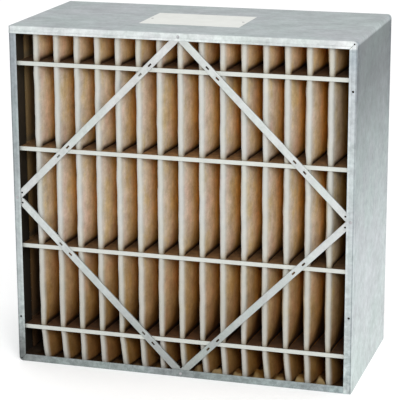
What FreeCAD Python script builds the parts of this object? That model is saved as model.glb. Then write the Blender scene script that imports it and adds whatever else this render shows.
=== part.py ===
"""Rigid box air filter: a galvanised box frame round one deep pleated media pack.

The filter stands on its bottom panel. X runs across the pleats, Y from the air-entering face (-Y)
to the air-leaving face (+Y), and Z up. The origin is the middle of the bottom panel's outside.
Lengths are in millimetres.
"""

import FreeCAD, Part
import math
import os

import Sketcher

Vector = FreeCAD.Vector

doc = FreeCAD.newDocument("rigid_box_air_filter")

# Driving dimensions: alias, value, what it is
SIZES = [
    ("box_width", 594.0, "outside of the frame along X"),
    ("box_height", 594.0, "outside of the frame along Z"),
    ("box_depth", 292.0, "outside of the frame along Y, over the hems"),
    ("sheet", 0.7, "thickness of the frame's sheet"),
    ("flange_width", 12.5, "inward flange, front and back"),
    ("hem_width", 4.0, "flattened hem along the flange's inner edge"),
    ("corner_radius", 7.0, "outside of the frame's folded corners"),
    ("fold_chamfer", 0.6, "rounding of the fold between panel and flange, taken as a chamfer"),
    ("tab_length", 22.0, "corner tab that laps inside the other frame half"),
    ("butt_gap", 0.3, "gap where two flanges meet end to end"),
    ("relief_half", 1.3, "half side of the notch at the end of a mitre slit"),
    ("relief_inset", 4.6, "middle of that notch from both outside faces"),
    ("punch_radius", 1.9, "small punched holes in the front flanges"),
    ("punch_right_drop", 81.0, "upper punched hole of the right flange, from the top of the box"),
    ("punch_right_rise", 133.0, "lower punched hole of the right flange, from the bottom"),
    ("punch_left_rise", 82.0, "punched hole of the left flange, from the bottom"),
    ("strap_width", 12.0, "across a diagonal strap"),
    ("strap_sheet", 0.9, "thickness of a strap's sheet"),
    ("strap_depth", 4.5, "from the flange's back to the edge of a strap's legs"),
    ("strap_edge", 0.8, "rounding along a strap's outer edges"),
    ("strap_leg_start", 8.5, "from the rivet to the first of a strap's legs"),
    ("strap_end", 4.7, "from the rivet to a strap's end"),
    ("slot_length", 7.0, "slot in a strap, along it"),
    ("slot_width", 3.0, "slot in a strap, across it"),
    ("slot_offset", 12.0, "slot centre from where strap and stabiliser cross"),
    ("strap_hole_radius", 1.7, "hole beside a strap's side end"),
    ("strap_hole_offset", 12.8, "that hole's centre from the rivet"),
    ("rivet_head_radius", 2.6, "rivet head"),
    ("rivet_crown_radius", 1.8, "flat top of a rivet head"),
    ("rivet_head_height", 0.65, "height of a rivet head"),
    ("rivet_clearance", 0.2, "rivet head to the hem"),
    ("strip_sheet", 0.8, "thickness of a stabiliser's sheet"),
    ("strip_height", 7.0, "face of a stabiliser"),
    ("strip_end_gap", 9.8, "from a stabiliser's end to the frame's inside"),
    ("strip_edge_space", 63.5, "outer stabiliser from the top or bottom of the box"),
    ("strip_spacing", 147.5, "outer to inner stabiliser"),
    ("finger_web", 1.2, "strip of a stabiliser's plate that joins its fingers"),
    ("finger_clearance", 1.2, "finger to media, at the finger's root"),
    ("finger_tip_space", 42.0, "finger tip to the folds at the far face"),
    ("pleats", 15, "pleats that open to the air-leaving side"),
    ("edge_space", 24.75, "outermost rear fold to the outside of the box"),
    ("media_thickness", 3.5, "thickness of the media"),
    ("nose_gap", 1.8, "stabiliser's back to the pleat folds"),
    ("nose_full", 6.0, "half width of a fold midway between stabilisers"),
    ("nose_pinched", 4.3, "half width of a fold at a stabiliser"),
    ("nose_chamfer", 2.0, "rounding of a fold, taken as a chamfer"),
    ("lap_start", 50.0, "front folds to the media's end on the side wall"),
    ("lap_length", 40.0, "length of media glued flat to the side wall"),
    ("pad_thickness", 5.0, "fibre sealing pads above and below the media"),
    ("label_width", 175.0, "label plate along X"),
    ("label_length", 115.0, "label plate along Y"),
    ("label_thickness", 0.3, "label plate"),
    ("label_shift_x", -7.0, "label centre from the middle of the top"),
    ("label_shift_y", -6.0, "label centre from the middle of the top"),
]

sheet = doc.addObject("Spreadsheet::Sheet", "sizes")
for row, (alias, number, note) in enumerate(SIZES, start=1):
    sheet.set(f"A{row}", note)
    sheet.set(f"B{row}", str(number))
    sheet.setAlias(f"B{row}", alias)
doc.recompute()

# Lengths that follow from the driving dimensions, as expressions
HALF_WIDTH = "(sizes.box_width / 2)"
HEIGHT = "sizes.box_height"
HALF_DEPTH = "(sizes.box_depth / 2)"
SHEET = "sizes.sheet"
FLANGE = "sizes.flange_width"
GAP = "sizes.butt_gap"
FLANGE_FRONT = f"({HALF_DEPTH} - {SHEET})"
RIVET_INSET = f"({FLANGE} - sizes.hem_width - sizes.rivet_head_radius - sizes.rivet_clearance)"
APEX_X = f"({HALF_WIDTH} - {RIVET_INSET})"
APEX_Z = f"({HEIGHT} / 2 - {RIVET_INSET})"
STRAP_SPAN = f"sqrt({APEX_X} * {APEX_X} + {APEX_Z} * {APEX_Z})"
STRAP_HALF = "(sizes.strap_width / 2)"
PITCH = "((sizes.box_width - 2 * sizes.edge_space) / sizes.pleats)"
STRIP_FRONT = f"(2 * {SHEET} + sizes.strap_depth)"
NOSE_FRONT = f"({STRIP_FRONT} + sizes.strip_sheet + sizes.nose_gap)"

SUB_PARTS = []


def value(expression):
    """The number that an expression has now."""
    return float(sheet.evalExpression(expression))


def sub_part(obj, label):
    """Gives an object the name of its node and keeps it for export."""
    obj.Label = label
    SUB_PARTS.append(obj)
    return obj


def new_body(label):
    return sub_part(doc.addObject("PartDesign::Body", label), label)


def sketch_on(body, plane, name, offset="0"):
    """A sketch on one of the body's own planes, moved along the plane's normal by an expression."""
    sketch = body.newObject("Sketcher::SketchObject", name)
    origin = next(f for f in body.Origin.OriginFeatures if f.Role == plane)
    sketch.AttachmentSupport = [(origin, "")]
    sketch.MapMode = "FlatFace"
    sketch.setExpression("AttachmentOffset.Base.z", offset)
    return sketch


def hold_point(sketch, geometry, point, x, y):
    """Ties one point of a sketch to the origin by an expression for each direction."""
    for kind, axis, expression in (("DistanceX", -2, x), ("DistanceY", -1, y)):
        if expression == "0":
            sketch.addConstraint(Sketcher.Constraint("PointOnObject", geometry, point, axis))
            continue
        tie = Sketcher.Constraint(kind, -1, 1, geometry, point, value(expression))
        index = sketch.addConstraint(tie)
        sketch.setExpression(f"Constraints[{index}]", expression)


def polygon(sketch, points):
    """A closed outline whose corners are given as pairs of expressions."""
    first = sketch.GeometryCount
    count = len(points)
    corners = [Vector(value(x), value(y), 0) for x, y in points]
    for i in range(count):
        sketch.addGeometry(Part.LineSegment(corners[i], corners[(i + 1) % count]))
    for i in range(count):
        after = first + (i + 1) % count
        sketch.addConstraint(Sketcher.Constraint("Coincident", first + i, 2, after, 1))
    for i, (x, y) in enumerate(points):
        hold_point(sketch, first + i, 1, x, y)


def rectangle(sketch, left, right, low, high):
    polygon(sketch, [(left, low), (right, low), (right, high), (left, high)])


def circle(sketch, x, y, radius):
    centre = Vector(value(x), value(y), 0)
    index = sketch.addGeometry(Part.Circle(centre, Vector(0, 0, 1), value(radius)))
    hold_point(sketch, index, 3, x, y)
    tie = sketch.addConstraint(Sketcher.Constraint("Radius", index, value(radius)))
    sketch.setExpression(f"Constraints[{tie}]", radius)


def extrude(body, kind, sketch, length, reverse=False, both_ways=False):
    """A Pad or Pocket of a sketch, its length an expression."""
    feature = body.newObject(f"PartDesign::{kind}", f"{sketch.Name}_{kind.lower()}")
    feature.Profile = sketch
    feature.setExpression("Length", length)
    feature.Reversed = reverse
    if both_ways:
        feature.SideType = "Symmetric"
    doc.recompute()
    return feature


def mirror_to_back(body, features):
    """Repeats features of the front face on the back face."""
    mirrored = body.newObject("PartDesign::Mirrored", f"{body.Name}_back")
    mirrored.Originals = features
    plane = next(f for f in body.Origin.OriginFeatures if f.Role == "XZ_Plane")
    mirrored.MirrorPlane = (plane, [""])
    body.Tip = mirrored
    doc.recompute()
    return mirrored


def edges_where(shape, test):
    """Names of the edges whose every vertex passes a test."""
    return [
        f"Edge{i}"
        for i, edge in enumerate(shape.Edges, start=1)
        if all(test(vertex.Point) for vertex in edge.Vertexes)
    ]


def dress(body, kind, name, size, test):
    """A Fillet or Chamfer of the edges of the body's tip that pass a test."""
    tip = body.Tip
    feature = body.newObject(f"PartDesign::{kind}", name)
    feature.Base = (tip, edges_where(tip.Shape, test))
    feature.setExpression("Radius" if kind == "Fillet" else "Size", size)
    body.Tip = feature
    doc.recompute()


def near(a, b):
    return abs(a - b) < 1e-4


def round_corner(body, x_side, z_side):
    """Rounds the folded corner at one side and the top or bottom, outside and inside."""
    x_out = x_side * value(HALF_WIDTH)
    z_out = value(HEIGHT) if z_side > 0 else 0.0
    x_in = x_out - x_side * value(SHEET)
    z_in = z_out - z_side * value(SHEET)
    dress(
        body,
        "Fillet",
        f"{body.Name}_corner_outside",
        "sizes.corner_radius",
        lambda p: near(p.x, x_out) and near(p.z, z_out),
    )
    dress(
        body,
        "Fillet",
        f"{body.Name}_corner_inside",
        f"sizes.corner_radius - {SHEET}",
        lambda p: near(p.x, x_in) and near(p.z, z_in),
    )


def ease_panel_folds(body, x_side, z_side):
    """Eases the folds between the panels and their flanges, front and back."""
    x_out = x_side * value(HALF_WIDTH)
    z_out = value(HEIGHT) if z_side > 0 else 0.0
    for face, y_out in (("front", -value(FLANGE_FRONT)), ("rear", value(FLANGE_FRONT))):
        dress(
            body,
            "Chamfer",
            f"{body.Name}_{face}_folds",
            "sizes.fold_chamfer",
            lambda p: near(p.y, y_out) and (near(p.x, x_out) or near(p.z, z_out)),
        )


def mitre_cut(sketch, x_side, corner_z, z_side):
    """The mitre slit of a folded corner. Returns the middle of the notch at its outer end."""
    half_slit = f"({GAP} / 2)"
    x_sign = "" if x_side > 0 else "-"
    mouth = f"({FLANGE} + {GAP})"
    inner = f"({HALF_WIDTH} - {mouth})"
    relief = f"({HALF_WIDTH} - sizes.relief_inset)"
    up = "-" if z_side > 0 else "+"
    back = "+" if z_side > 0 else "-"
    inner_z = f"({corner_z} {up} {mouth})"
    relief_z = f"({corner_z} {up} sizes.relief_inset)"
    polygon(
        sketch,
        [
            (f"{x_sign}({inner} - {half_slit})", f"{inner_z} {back} {half_slit}"),
            (f"{x_sign}({relief} - {half_slit})", f"{relief_z} {back} {half_slit}"),
            (f"{x_sign}({relief} + {half_slit})", f"{relief_z} {up} {half_slit}"),
            (f"{x_sign}({inner} + {half_slit})", f"{inner_z} {up} {half_slit}"),
        ],
    )
    return f"{x_sign}{relief}", relief_z


def relief_notch(sketch, x, z):
    """The square notch at the outer end of a mitre slit."""
    half = "sizes.relief_half"
    rectangle(sketch, f"{x} - {half}", f"{x} + {half}", f"{z} - {half}", f"{z} + {half}")


def build_frame_top_right():
    """The top and right panels, folded from one strip, with flanges and hems front and back."""
    body = new_body("frame_top_right")
    left, right = f"-{HALF_WIDTH}", HALF_WIDTH

    wall = sketch_on(body, "XZ_Plane", "top_right_wall")
    polygon(
        wall,
        [
            (left, HEIGHT),
            (right, HEIGHT),
            (right, "0"),
            (f"{right} - {SHEET}", "0"),
            (f"{right} - {SHEET}", f"{HEIGHT} - {SHEET}"),
            (left, f"{HEIGHT} - {SHEET}"),
        ],
    )
    extrude(body, "Pad", wall, f"2 * {FLANGE_FRONT}", both_ways=True)

    flange = sketch_on(body, "XZ_Plane", "top_right_flange", FLANGE_FRONT)
    polygon(
        flange,
        [
            (left, HEIGHT),
            (right, HEIGHT),
            (right, "0"),
            (f"{right} - {FLANGE}", "0"),
            (f"{right} - {FLANGE}", f"{HEIGHT} - {FLANGE}"),
            (left, f"{HEIGHT} - {FLANGE}"),
        ],
    )
    flange_pad = extrude(body, "Pad", flange, SHEET, reverse=True)

    hem = sketch_on(body, "XZ_Plane", "top_right_hem", FLANGE_FRONT)
    hem_x = f"{right} - {FLANGE} + sizes.hem_width"
    hem_z = f"{HEIGHT} - {FLANGE} + sizes.hem_width"
    polygon(
        hem,
        [
            (left, hem_z),
            (hem_x, hem_z),
            (hem_x, "0"),
            (f"{right} - {FLANGE}", "0"),
            (f"{right} - {FLANGE}", f"{HEIGHT} - {FLANGE}"),
            (left, f"{HEIGHT} - {FLANGE}"),
        ],
    )
    hem_pad = extrude(body, "Pad", hem, SHEET)

    slit = sketch_on(body, "XZ_Plane", "top_right_slit", HALF_DEPTH)
    relief_x, relief_z = mitre_cut(slit, 1, HEIGHT, 1)
    slit_cut = extrude(body, "Pocket", slit, f"2 * {SHEET}")
    relief = sketch_on(body, "XZ_Plane", "top_right_relief", HALF_DEPTH)
    relief_notch(relief, relief_x, relief_z)
    relief_cut = extrude(body, "Pocket", relief, f"2 * {SHEET}")
    mirror_to_back(body, [flange_pad, hem_pad, slit_cut, relief_cut])

    punches = sketch_on(body, "XZ_Plane", "top_right_punches", HALF_DEPTH)
    circle(punches, APEX_X, f"{HEIGHT} - sizes.punch_right_drop", "sizes.punch_radius")
    circle(punches, APEX_X, "sizes.punch_right_rise", "sizes.punch_radius")
    extrude(body, "Pocket", punches, f"2 * {SHEET}")

    round_corner(body, 1, 1)
    ease_panel_folds(body, 1, 1)


def build_frame_bottom_left():
    """The left and bottom panels, with a tab at each end that laps inside the other half."""
    body = new_body("frame_bottom_left")
    left, right = f"-{HALF_WIDTH}", HALF_WIDTH
    flange_top = f"{HEIGHT} - {FLANGE} - {GAP}"
    flange_right = f"{right} - {FLANGE} - {GAP}"

    wall = sketch_on(body, "XZ_Plane", "bottom_left_wall")
    polygon(
        wall,
        [
            (left, f"{HEIGHT} - {SHEET}"),
            (left, "0"),
            (f"{right} - {SHEET}", "0"),
            (f"{right} - {SHEET}", SHEET),
            (f"{left} + {SHEET}", SHEET),
            (f"{left} + {SHEET}", f"{HEIGHT} - {SHEET}"),
        ],
    )
    extrude(body, "Pad", wall, f"2 * {FLANGE_FRONT}", both_ways=True)

    flange = sketch_on(body, "XZ_Plane", "bottom_left_flange", FLANGE_FRONT)
    polygon(
        flange,
        [
            (left, flange_top),
            (left, "0"),
            (flange_right, "0"),
            (flange_right, FLANGE),
            (f"{left} + {FLANGE}", FLANGE),
            (f"{left} + {FLANGE}", flange_top),
        ],
    )
    flange_pad = extrude(body, "Pad", flange, SHEET, reverse=True)

    hem = sketch_on(body, "XZ_Plane", "bottom_left_hem", FLANGE_FRONT)
    polygon(
        hem,
        [
            (f"{left} + {FLANGE} - sizes.hem_width", flange_top),
            (f"{left} + {FLANGE} - sizes.hem_width", f"{FLANGE} - sizes.hem_width"),
            (flange_right, f"{FLANGE} - sizes.hem_width"),
            (flange_right, FLANGE),
            (f"{left} + {FLANGE}", FLANGE),
            (f"{left} + {FLANGE}", flange_top),
        ],
    )
    hem_pad = extrude(body, "Pad", hem, SHEET)

    # The other half's flanges run past these two corners, so the panels are notched behind them
    notch = sketch_on(body, "XZ_Plane", "bottom_left_notch", HALF_DEPTH)
    rectangle(notch, left, f"{left} + {SHEET}", flange_top, f"{HEIGHT} - {SHEET}")
    rectangle(notch, flange_right, f"{right} - {SHEET}", "0", SHEET)
    notch_cut = extrude(body, "Pocket", notch, f"2 * {SHEET} + {GAP}")

    slit = sketch_on(body, "XZ_Plane", "bottom_left_slit", HALF_DEPTH)
    relief_x, relief_z = mitre_cut(slit, -1, "0 * sizes.sheet", -1)
    slit_cut = extrude(body, "Pocket", slit, f"2 * {SHEET}")
    relief = sketch_on(body, "XZ_Plane", "bottom_left_relief", HALF_DEPTH)
    relief_notch(relief, relief_x, relief_z)
    relief_cut = extrude(body, "Pocket", relief, f"2 * {SHEET}")
    mirror_to_back(body, [flange_pad, hem_pad, notch_cut, slit_cut, relief_cut])

    punches = sketch_on(body, "XZ_Plane", "bottom_left_punches", HALF_DEPTH)
    circle(punches, f"-{APEX_X}", "sizes.punch_left_rise", "sizes.punch_radius")
    extrude(body, "Pocket", punches, f"2 * {SHEET}")

    tabs = sketch_on(body, "XZ_Plane", "bottom_left_tabs")
    tab_top = f"{HEIGHT} - {SHEET}"
    tab_right = f"{right} - {SHEET}"
    rectangle(tabs, left, f"{left} + sizes.tab_length", f"{tab_top} - {SHEET}", tab_top)
    rectangle(tabs, f"{tab_right} - {SHEET}", tab_right, "0", "sizes.tab_length")
    extrude(body, "Pad", tabs, f"2 * ({FLANGE_FRONT} - {SHEET} - {GAP})", both_ways=True)

    round_corner(body, -1, -1)
    ease_panel_folds(body, -1, -1)


def build_strap(label, angle, start, side_end_first, layer, at_back):
    """One diagonal strap, a shallow channel from one flange's rivet to the next.

    Its own X runs along it from the rivet at start, its own Z points out of the diamond, and its
    legs point inwards along +Y. Straps of layer 1 lie behind the ends of those of layer 0.
    """
    body = new_body(label)
    end = "sizes.strap_end"
    half = STRAP_HALF
    cos_a = f"({APEX_X} / {STRAP_SPAN})"
    sin_a = f"({APEX_Z} / {STRAP_SPAN})"
    if not side_end_first:
        cos_a, sin_a = sin_a, cos_a

    # Each end is square, with its outer corner cut along the panel beside it
    web = sketch_on(body, "XZ_Plane", f"{label}_web")
    polygon(
        web,
        [
            (f"-{end}", f"-{half}"),
            (f"{STRAP_SPAN} + {end}", f"-{half}"),
            (f"{STRAP_SPAN} + {end}", f"({end} - {end} * {sin_a}) / {cos_a}"),
            (f"{STRAP_SPAN} + ({end} - {half} * {cos_a}) / {sin_a}", half),
            (f"-({end} - {half} * {sin_a}) / {cos_a}", half),
            (f"-{end}", f"({end} - {end} * {cos_a}) / {sin_a}"),
        ],
    )
    extrude(body, "Pad", web, "sizes.strap_sheet", reverse=True)

    legs = sketch_on(body, "XZ_Plane", f"{label}_legs")
    leg_end = f"{STRAP_SPAN} - sizes.strap_leg_start"
    rectangle(legs, "sizes.strap_leg_start", leg_end, f"{half} - sizes.strap_sheet", half)
    rectangle(legs, "sizes.strap_leg_start", leg_end, f"-{half}", f"-{half} + sizes.strap_sheet")
    leg_depth = f"sizes.strap_depth - {layer} * sizes.strap_sheet"
    extrude(body, "Pad", legs, leg_depth, reverse=True)

    slots = sketch_on(body, "XZ_Plane", f"{label}_slots")
    for drop in ("0 * sizes.sheet", "sizes.strip_spacing"):
        height = f"({HEIGHT} / 2 - sizes.strip_edge_space - {drop})"
        crossing = f"{height} * {STRAP_SPAN} / {APEX_Z}"
        if not side_end_first:
            crossing = f"{STRAP_SPAN} - {crossing}"
        for side in ("-", "+"):
            centre = f"{crossing} {side} sizes.slot_offset"
            rectangle(
                slots,
                f"{centre} - sizes.slot_length / 2",
                f"{centre} + sizes.slot_length / 2",
                "-sizes.slot_width / 2",
                "sizes.slot_width / 2",
            )
    extrude(body, "Pocket", slots, "sizes.strap_sheet")

    hole = sketch_on(body, "XZ_Plane", f"{label}_hole")
    side_hole = "sizes.strap_hole_offset"
    if not side_end_first:
        side_hole = f"{STRAP_SPAN} - {side_hole}"
    circle(hole, side_hole, "0", "sizes.strap_hole_radius")
    extrude(body, "Pocket", hole, "sizes.strap_sheet")

    width = value(STRAP_HALF)
    dress(
        body,
        "Fillet",
        f"{label}_edges",
        "min(sizes.strap_edge; 0.95 * sizes.strap_sheet)",
        lambda p: near(p.y, 0) and near(abs(p.z), width),
    )
    front = value(f"{FLANGE_FRONT} - {SHEET} - {layer} * sizes.strap_sheet")
    turn = FreeCAD.Rotation(Vector(0, 1, 0), angle)
    place_on_face(body, Vector(start[0], -front, start[1]), turn, at_back)


def place_on_face(body, base, rotation, at_back):
    """Places a piece of the front face, or turns it half a turn about Z to the back face."""
    placement = FreeCAD.Placement(base, rotation)
    if at_back:
        half_turn = FreeCAD.Placement(Vector(0, 0, 0), FreeCAD.Rotation(Vector(0, 0, 1), 180))
        placement = half_turn.multiply(placement)
    body.Placement = placement


def build_straps():
    """The diamond of four straps on each face. A strap starts at each of the four rivets."""
    x, z = value(APEX_X), value(APEX_Z)
    middle = value(f"{HEIGHT} / 2")
    lean = math.degrees(math.atan2(z, x))
    diamond = [
        ("upper_left", -lean, (-x, middle), True, 0),
        ("upper_right", lean, (0, middle + z), False, 1),
        ("lower_right", 180 - lean, (x, middle), True, 0),
        ("lower_left", 180 + lean, (0, middle - z), False, 1),
    ]
    for face in ("front", "rear"):
        for name, angle, start, side_end_first, layer in diamond:
            label = f"{face}_strap_{name}"
            build_strap(label, angle, start, side_end_first, layer, face == "rear")


def build_stabiliser(label, fingers, height, at_back):
    """One stabiliser: a strip across the pleats, folded back along its top into tapered fingers."""
    body = new_body(label)
    reach = f"({HALF_WIDTH} - {SHEET} - sizes.strip_end_gap)"
    top = "sizes.strip_height / 2"

    face = sketch_on(body, "XZ_Plane", f"{label}_face")
    rectangle(face, f"-{reach}", reach, f"-{top}", top)
    extrude(body, "Pad", face, "sizes.strip_sheet", reverse=True)

    plate = sketch_on(body, "XY_Plane", f"{label}_plate", top)
    web_back = "sizes.strip_sheet + sizes.finger_web"
    rectangle(plate, f"-{reach}", reach, "sizes.strip_sheet / 2", web_back)
    extrude(body, "Pad", plate, "sizes.strip_sheet", reverse=True)

    finger = sketch_on(body, "XY_Plane", f"{label}_finger", top)
    root = f"({PITCH} / 2 - sizes.nose_pinched - sizes.finger_clearance)"
    first = f"(({fingers} - 1) / 2 * {PITCH})"
    tip = f"sizes.box_depth - {NOSE_FRONT} - sizes.finger_tip_space - {STRIP_FRONT}"
    polygon(
        finger,
        [
            (f"-{first} - {root}", "sizes.strip_sheet"),
            (f"-{first} + {root}", "sizes.strip_sheet"),
            (f"-{first}", tip),
        ],
    )
    finger_pad = extrude(body, "Pad", finger, "sizes.strip_sheet", reverse=True)

    pattern = body.newObject("PartDesign::LinearPattern", f"{label}_fingers")
    pattern.Originals = [finger_pad]
    axis = next(f for f in body.Origin.OriginFeatures if f.Role == "X_Axis")
    pattern.Direction = (axis, [""])
    pattern.setExpression("Length", f"2 * {first}")
    pattern.setExpression("Occurrences", fingers)
    body.Tip = pattern
    doc.recompute()

    front = value(f"{HALF_DEPTH} - {STRIP_FRONT}")
    place_on_face(body, Vector(0, -front, height), FreeCAD.Rotation(), at_back)


def strip_heights():
    """Heights of the stabilisers' middles, from the bottom up."""
    low = value("sizes.strip_edge_space")
    spacing = value("sizes.strip_spacing")
    high = value(HEIGHT)
    return [low, low + spacing, high - low - spacing, high - low]


def build_stabilisers():
    """Front fingers stand between the pleats, and rear fingers inside them."""
    levels = ("bottom", "lower", "upper", "top")
    for face, fingers in (("front", "(sizes.pleats + 1)"), ("rear", "sizes.pleats")):
        for level, height in zip(levels, strip_heights()):
            label = f"{face}_stabiliser_{level}"
            build_stabiliser(label, fingers, height, face == "rear")


def media_section(nose):
    """The media's outline at one height, its folds nose wide on each side of their middles.

    Returns the air-entering side and the air-leaving side, each as points from left to right.
    """
    pitch = value(PITCH)
    pleats = int(value("sizes.pleats"))
    thick = value("sizes.media_thickness")
    chamfer = value("sizes.nose_chamfer")
    rear = value(f"{HALF_DEPTH} - {NOSE_FRONT}")
    front = -rear
    wall = value(f"{HALF_WIDTH} - 2 * {SHEET}")
    lap_end = front + value("sizes.lap_start")
    lap_back = lap_end + value("sizes.lap_length")

    entering = [(thick - wall, lap_end), (thick - wall, lap_back)]
    leaving = [(-wall, lap_end), (-wall, lap_back)]
    for fold in range(2 * pleats + 1):
        x = (fold - pleats) * pitch / 2
        inner = nose - thick
        outer = [(-nose, chamfer), (chamfer - nose, 0), (nose - chamfer, 0), (nose, chamfer)]
        if fold % 2:
            entering += [(x + dx, front + dy) for dx, dy in outer]
            leaving += [(x - inner, front + thick), (x + inner, front + thick)]
        else:
            entering += [(x - inner, rear - thick), (x + inner, rear - thick)]
            leaving += [(x + dx, rear - dy) for dx, dy in outer]
    entering += [(wall - thick, lap_back), (wall - thick, lap_end)]
    leaving += [(wall, lap_back), (wall, lap_end)]
    return entering, leaving


def facets(a, b, c, d):
    """One flat face through four corners, or two where they don't lie in a plane."""
    normal = (b - a).cross(c - a).normalize()
    if abs((d - a).dot(normal)) < 1e-6:
        return [flat_face([a, b, c, d])]
    return [flat_face([a, b, c]), flat_face([a, c, d])]


def flat_face(corners):
    return Part.Face(Part.makePolygon(corners + corners[:1]))


def build_media():
    """The media: one blanket folded into deep pleats, pinched where the stabilisers hold it."""
    pinched, full = value("sizes.nose_pinched"), value("sizes.nose_full")
    bottom = value(f"{SHEET} + sizes.pad_thickness")
    top = value(f"{HEIGHT} - 2 * {SHEET} - sizes.pad_thickness")
    heights = strip_heights()
    levels = [(bottom, full)]
    for i, height in enumerate(heights):
        levels.append((height, pinched))
        if i + 1 < len(heights):
            levels.append(((height + heights[i + 1]) / 2, full))
    levels.append((top, full))

    rings = []
    for height, nose in levels:
        entering, leaving = media_section(nose)
        rings.append([Vector(x, y, height) for x, y in entering + leaving[::-1]])
    faces = [flat_face(rings[0]), flat_face(rings[-1])]
    for low, high in zip(rings, rings[1:]):
        for i, corner in enumerate(low):
            after = (i + 1) % len(low)
            faces += facets(corner, low[after], high[after], high[i])
    shell = Part.makeShell(faces)
    shell.sewShape()
    solid = Part.makeSolid(shell)
    if solid.Volume < 0:
        solid.reverse()
    media = sub_part(doc.addObject("Part::Feature", "media_pack"), "media_pack")
    media.Shape = solid


def build_box(label, size, low_corner):
    """A plain flat piece, its size and its lowest corner given as expressions."""
    box = sub_part(doc.addObject("Part::Box", label), label)
    for name, expression in zip(("Length", "Width", "Height"), size):
        box.setExpression(name, expression)
    for name, expression in zip("xyz", low_corner):
        box.setExpression(f"Placement.Base.{name}", expression)


def build_pads():
    """The fibre pads that seal the media's ends, each cut back at its half's folded corner."""
    side = f"({HALF_WIDTH} - 2 * {SHEET})"
    bend = f"(sizes.corner_radius - {SHEET})"
    rise = f"({bend} - sqrt({bend} * {bend} - ({bend} - {SHEET}) * ({bend} - {SHEET})))"
    under_top = f"({HEIGHT} - 2 * {SHEET})"
    outlines = {
        "pad_bottom": [
            (f"-{HALF_WIDTH} + sizes.corner_radius", SHEET),
            (side, SHEET),
            (side, f"{SHEET} + sizes.pad_thickness"),
            (f"-{side}", f"{SHEET} + sizes.pad_thickness"),
            (f"-{side}", f"{SHEET} + {rise}"),
        ],
        "pad_top": [
            (f"-{side}", under_top),
            (f"-{side}", f"{under_top} - sizes.pad_thickness"),
            (side, f"{under_top} - sizes.pad_thickness"),
            (side, f"{HEIGHT} - {SHEET} - {rise}"),
            (f"{HALF_WIDTH} - {SHEET} - {rise}", under_top),
        ],
    }
    for label, outline in outlines.items():
        body = new_body(label)
        section = sketch_on(body, "XZ_Plane", f"{label}_section")
        polygon(section, outline)
        extrude(body, "Pad", section, f"2 * ({HALF_DEPTH} - {NOSE_FRONT})", both_ways=True)


def build_label_plate():
    """The plain plate on top."""
    build_box(
        "label_plate",
        ("sizes.label_width", "sizes.label_length", "sizes.label_thickness"),
        (
            "sizes.label_shift_x - sizes.label_width / 2",
            "sizes.label_shift_y - sizes.label_length / 2",
            HEIGHT,
        ),
    )


def build_rivet(name, x, z, at_back):
    """The set head of one rivet, flat on the flange."""
    head = doc.addObject("Part::Cone", name)
    head.setExpression("Radius1", "sizes.rivet_head_radius")
    head.setExpression("Radius2", "sizes.rivet_crown_radius")
    head.setExpression("Height", "sizes.rivet_head_height")
    outwards = FreeCAD.Rotation(Vector(1, 0, 0), 90)
    place_on_face(head, Vector(x, -value(FLANGE_FRONT), z), outwards, at_back)
    return head


def build_rivets():
    """Four rivets hold the diamond on each face."""
    x, z = value(APEX_X), value(APEX_Z)
    middle = value(f"{HEIGHT} / 2")
    for face in ("front", "rear"):
        spots = [(-x, middle), (0, middle + z), (x, middle), (0, middle - z)]
        group = doc.addObject("Part::Compound", f"{face}_rivets")
        group.Links = [
            build_rivet(f"{face}_rivet_{i}", sx, sz, face == "rear")
            for i, (sx, sz) in enumerate(spots, start=1)
        ]
        sub_part(group, f"{face}_rivets")


def check_document():
    """Stops if any object failed or any sub-part has no valid shape."""
    doc.recompute()
    for obj in doc.Objects:
        if {"Invalid", "Error"} & set(obj.State):
            raise RuntimeError(f"{obj.Label} didn't recompute")
    for part in SUB_PARTS:
        if part.Shape.isNull() or not part.Shape.isValid():
            raise RuntimeError(f"{part.Label} has no valid shape")


build_frame_top_right()
build_frame_bottom_left()
build_straps()
build_stabilisers()
build_media()
build_pads()
build_label_plate()
build_rivets()
check_document()

os.makedirs("parts", exist_ok=True)
for part in SUB_PARTS:
    part.Shape.exportStep(f"parts/{part.Label}.step")
    print(f"{part.Label}: {len(part.Shape.Solids)} solid(s), {part.Shape.Volume / 1000:.1f} cm3")
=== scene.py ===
"""Looks for the rigid box air filter: materials, pleated media, pads, wire grid, light and camera.

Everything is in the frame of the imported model: X across the pleats, -Y the air-entering face, Z up,
origin at the middle of the bottom panel's outside. Lengths are in millimetres unless a comment says
otherwise, and MM turns them into the frame's metres.
"""

import math

import bpy
import numpy as np
from mathutils import Matrix, Vector


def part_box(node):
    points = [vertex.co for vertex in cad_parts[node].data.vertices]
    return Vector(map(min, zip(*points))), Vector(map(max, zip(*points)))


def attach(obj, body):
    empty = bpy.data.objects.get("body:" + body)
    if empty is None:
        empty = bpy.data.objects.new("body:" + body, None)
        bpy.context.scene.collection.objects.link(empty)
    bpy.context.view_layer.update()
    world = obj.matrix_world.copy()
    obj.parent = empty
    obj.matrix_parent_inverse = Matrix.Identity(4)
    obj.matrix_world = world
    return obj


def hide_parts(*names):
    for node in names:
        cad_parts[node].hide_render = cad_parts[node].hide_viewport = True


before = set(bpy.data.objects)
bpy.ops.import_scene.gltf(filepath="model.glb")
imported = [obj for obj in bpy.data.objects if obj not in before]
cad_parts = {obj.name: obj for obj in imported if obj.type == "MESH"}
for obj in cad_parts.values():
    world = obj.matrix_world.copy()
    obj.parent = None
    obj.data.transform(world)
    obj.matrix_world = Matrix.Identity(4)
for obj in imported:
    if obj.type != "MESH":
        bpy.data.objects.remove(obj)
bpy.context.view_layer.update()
rng = np.random.default_rng(7)

MM = 0.001
WHITE = (1.0, 1.0, 1.0)

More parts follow.
